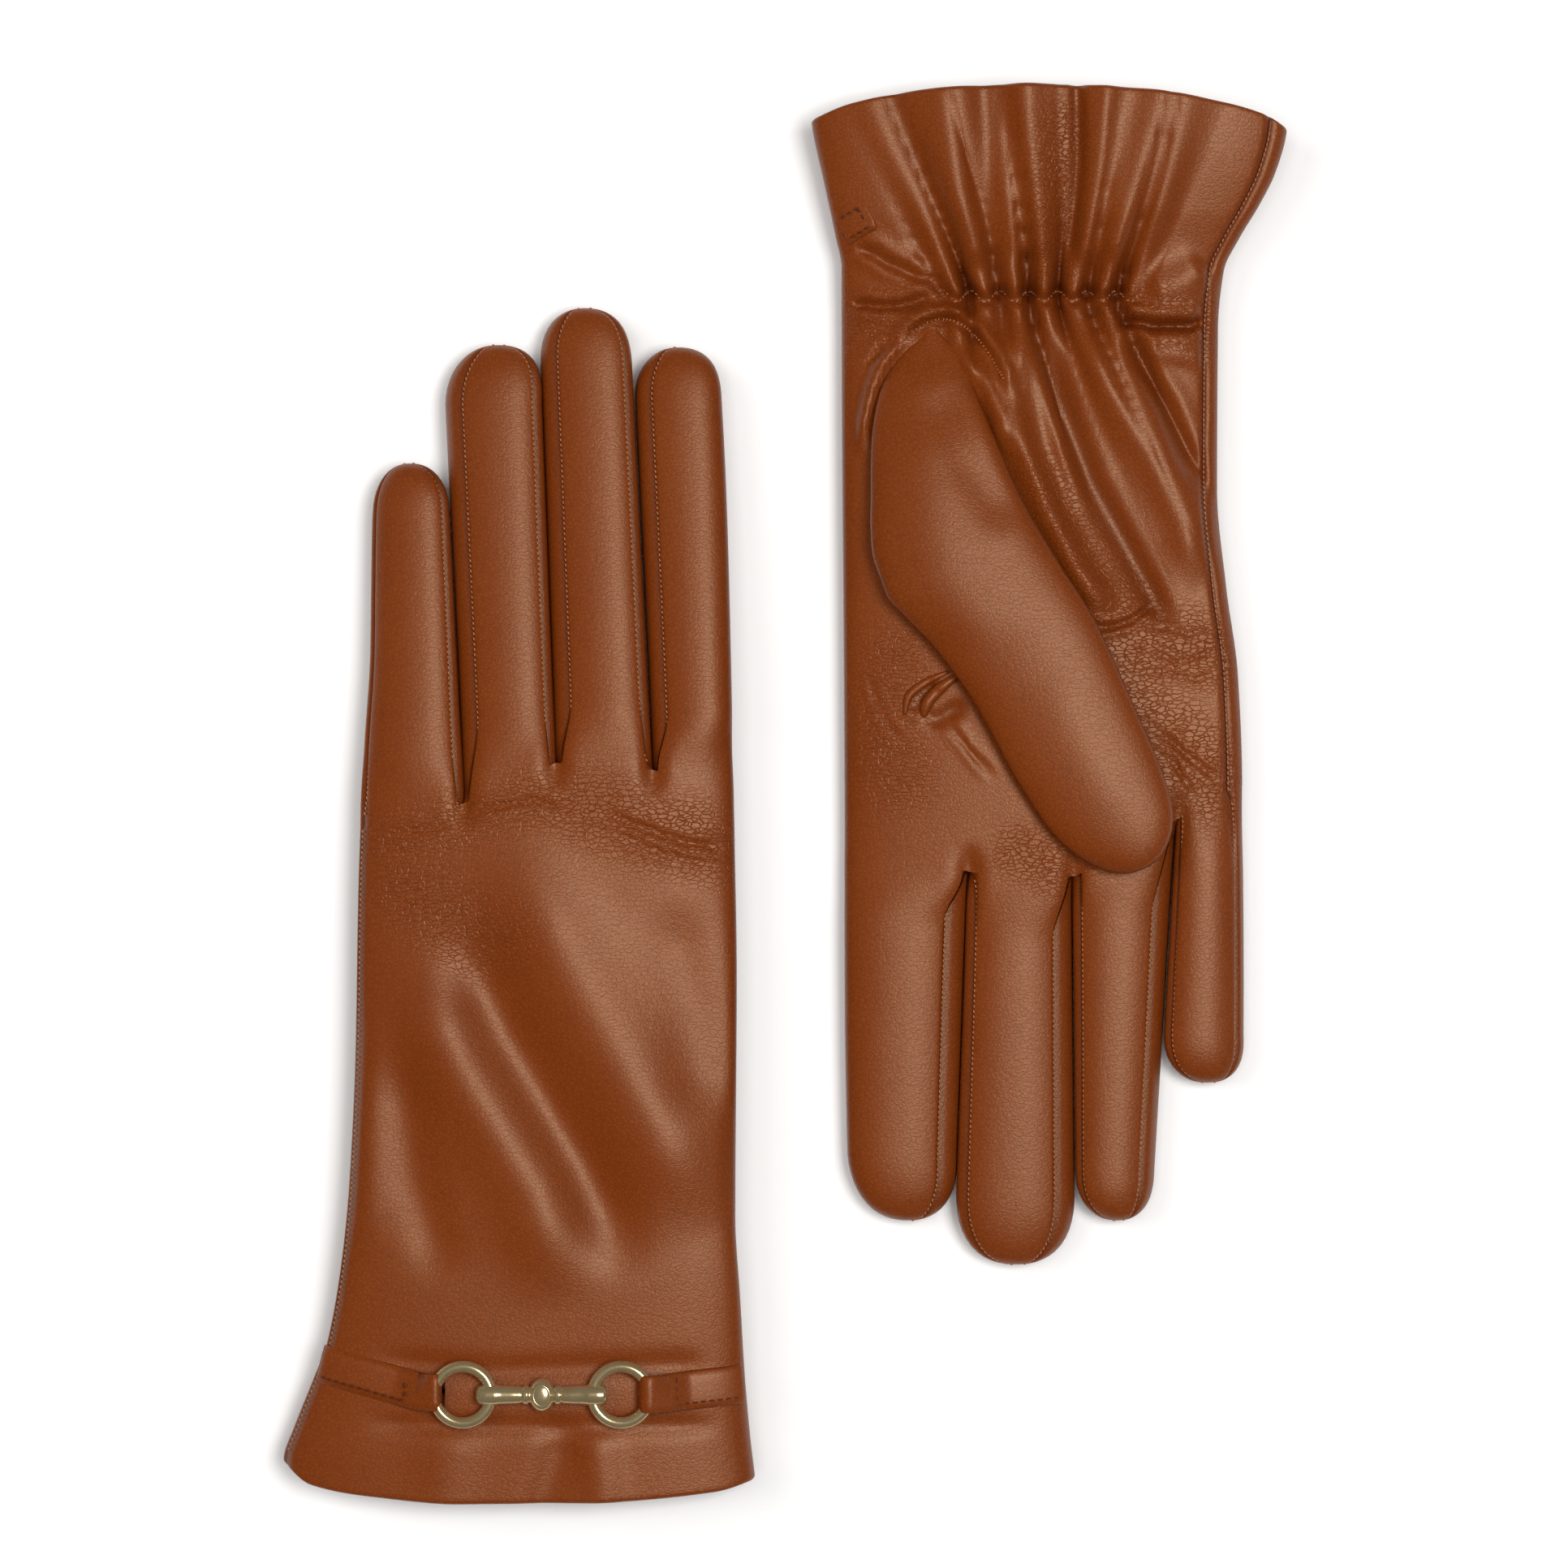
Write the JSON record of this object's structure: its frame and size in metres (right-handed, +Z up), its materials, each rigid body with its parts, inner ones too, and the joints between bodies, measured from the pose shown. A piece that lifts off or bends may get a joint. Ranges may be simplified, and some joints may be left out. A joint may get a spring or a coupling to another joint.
{
  "type": "pair of leather gloves",
  "caption": "Pair of smooth leather dress gloves with knit lining, flared gathered cuffs and a ring-and-bar trim across each wrist, lying flat with one back up and one palm up.",
  "frame": {"origin": "on the surface the gloves lie on, at the middle of the space that the pair fills", "axes": "+Y along the gloves, towards the left glove's fingertips; +X from the left glove to the right glove; +Z up"},
  "size_m": [0.2114, 0.2938, 0.0226],
  "materials": {
    "leather": "smooth satin cognac nappa with fine grain",
    "lining": "fine brushed knit",
    "elastic": "woven elastic tape",
    "gold": "polished pale gold plate",
    "thread": "waxed sewing thread"
  },
  "bodies": {
    "left_hand": {"left_trank": "leather", "left_hand_lining": "lining", "left_cuff_facing": "leather", "left_wrist_elastic": "elastic", "left_thumb_quirk": "leather", "left_strap_pinky_side": "leather", "left_strap_index_side": "leather"},
    "left_thumb": {"left_thumb": "leather", "left_thumb_lining": "lining"},
    "left_pinky": {"left_pinky_stall": "leather", "left_pinky_lining": "lining", "left_pinky_fourchette_index_side": "leather"},
    "left_ring": {"left_ring_stall": "leather", "left_ring_lining": "lining", "left_ring_fourchette_pinky_side": "leather", "left_ring_fourchette_index_side": "leather"},
    "left_middle": {"left_middle_stall": "leather", "left_middle_lining": "lining", "left_middle_fourchette_pinky_side": "leather", "left_middle_fourchette_index_side": "leather"},
    "left_index": {"left_index_stall": "leather", "left_index_lining": "lining", "left_index_fourchette_pinky_side": "leather"},
    "left_bit_ring_pinky": {"left_bit_ring_pinky_side": "gold"},
    "left_bit_ring_index": {"left_bit_ring_index_side": "gold"},
    "left_bit_bar": {"left_bit_bar": "gold"},
    "right_hand": {"right_trank": "leather", "right_hand_lining": "lining", "right_cuff_facing": "leather", "right_wrist_elastic": "elastic", "right_thumb_quirk": "leather", "right_strap_pinky_side": "leather", "right_strap_index_side": "leather"},
    "right_thumb": {"right_thumb": "leather", "right_thumb_lining": "lining"},
    "right_pinky": {"right_pinky_stall": "leather", "right_pinky_lining": "lining", "right_pinky_fourchette_index_side": "leather"},
    "right_ring": {"right_ring_stall": "leather", "right_ring_lining": "lining", "right_ring_fourchette_pinky_side": "leather", "right_ring_fourchette_index_side": "leather"},
    "right_middle": {"right_middle_stall": "leather", "right_middle_lining": "lining", "right_middle_fourchette_pinky_side": "leather", "right_middle_fourchette_index_side": "leather"},
    "right_index": {"right_index_stall": "leather", "right_index_lining": "lining", "right_index_fourchette_pinky_side": "leather"},
    "right_bit_ring_pinky": {"right_bit_ring_pinky_side": "gold"},
    "right_bit_ring_index": {"right_bit_ring_index_side": "gold"},
    "right_bit_bar": {"right_bit_bar": "gold"}
  },
  "joints": [
    {"name": "left_pinky_bend", "type": "hinge", "parent": "left_hand", "child": "left_pinky", "pos_m": [-0.07835, -0.00169, 0.01839], "axis": [0.9998, 0.0175, 0], "range_deg": [0, 45]},
    {"name": "left_ring_bend", "type": "hinge", "parent": "left_hand", "child": "left_ring", "pos_m": [-0.05816, 0.00331, 0.01839], "axis": [0.9992, 0.0401, 0], "range_deg": [0, 45]},
    {"name": "left_middle_bend", "type": "hinge", "parent": "left_hand", "child": "left_middle", "pos_m": [-0.03837, 0.00631, 0.01839], "axis": [0.9988, 0.0488, 0], "range_deg": [0, 45]},
    {"name": "left_index_bend", "type": "hinge", "parent": "left_hand", "child": "left_index", "pos_m": [-0.01987, 0.00531, 0.01839], "axis": [0.9989, 0.0471, 0], "range_deg": [0, 45]},
    {"name": "left_thumb_swing", "type": "hinge", "parent": "left_hand", "child": "left_thumb", "pos_m": [-0.02825, -0.073, 0.00285], "axis": [0, 0, 1], "range_deg": [-38, 0]},
    {"name": "left_bit_lift", "type": "hinge", "parent": "left_hand", "child": "left_bit_ring_pinky", "pos_m": [-0.07365, -0.125, 0.02009], "axis": [0, -1, 0], "range_deg": [0, 12]},
    {"name": "left_bit_bar_level", "type": "hinge", "parent": "left_bit_ring_pinky", "child": "left_bit_bar", "pos_m": [-0.06185, -0.125, 0.02009], "axis": [0, 1, 0], "range_deg": [0, 13]},
    {"name": "left_bit_far_ring_lift", "type": "hinge", "parent": "left_hand", "child": "left_bit_ring_index", "pos_m": [-0.02885, -0.125, 0.02009], "axis": [0, 1, 0], "range_deg": [0, 13]},
    {"name": "right_pinky_bend", "type": "hinge", "parent": "right_hand", "child": "right_pinky", "pos_m": [0.08895, -0.005, 0.012], "axis": [-1, 0, 0], "range_deg": [0, 60]},
    {"name": "right_ring_bend", "type": "hinge", "parent": "right_hand", "child": "right_ring", "pos_m": [0.07125, -0.011, 0.012], "axis": [-0.9999, 0.0105, 0], "range_deg": [0, 35]},
    {"name": "right_middle_bend", "type": "hinge", "parent": "right_hand", "child": "right_middle", "pos_m": [0.04925, -0.016, 0.012], "axis": [-1, 0.007, 0], "range_deg": [0, 60]},
    {"name": "right_index_bend", "type": "hinge", "parent": "right_hand", "child": "right_index", "pos_m": [0.02515, -0.015, 0.012], "axis": [-1, 0.007, 0], "range_deg": [0, 60]},
    {"name": "right_thumb_swing", "type": "hinge", "parent": "right_hand", "child": "right_thumb", "pos_m": [0.03025, 0.077, 0.01865], "axis": [0, 0, 1], "range_deg": [-38, 0]},
    {"name": "right_bit_lift", "type": "hinge", "parent": "right_hand", "child": "right_bit_ring_pinky", "pos_m": [0.07565, 0.129, 0.00225], "axis": [0, -1, 0], "range_deg": [0, 12]},
    {"name": "right_bit_bar_level", "type": "hinge", "parent": "right_bit_ring_pinky", "child": "right_bit_bar", "pos_m": [0.06385, 0.129, 0.00225], "axis": [0, 1, 0], "range_deg": [0, 13]},
    {"name": "right_bit_far_ring_lift", "type": "hinge", "parent": "right_hand", "child": "right_bit_ring_index", "pos_m": [0.03085, 0.129, 0.00225], "axis": [0, 1, 0], "range_deg": [0, 13]},
    {"name": "right_hand_lift", "type": "slide", "parent": "left_hand", "child": "right_hand", "axis": [0, 0, 1], "range_m": [0, 0.12]}
  ],
  "couplings": [
    {"joint": "left_bit_bar_level", "follows": "left_bit_lift", "ratio": 1},
    {"joint": "left_bit_far_ring_lift", "follows": "left_bit_lift", "ratio": 1},
    {"joint": "right_bit_bar_level", "follows": "right_bit_lift", "ratio": 1},
    {"joint": "right_bit_far_ring_lift", "follows": "right_bit_lift", "ratio": 1}
  ]
}
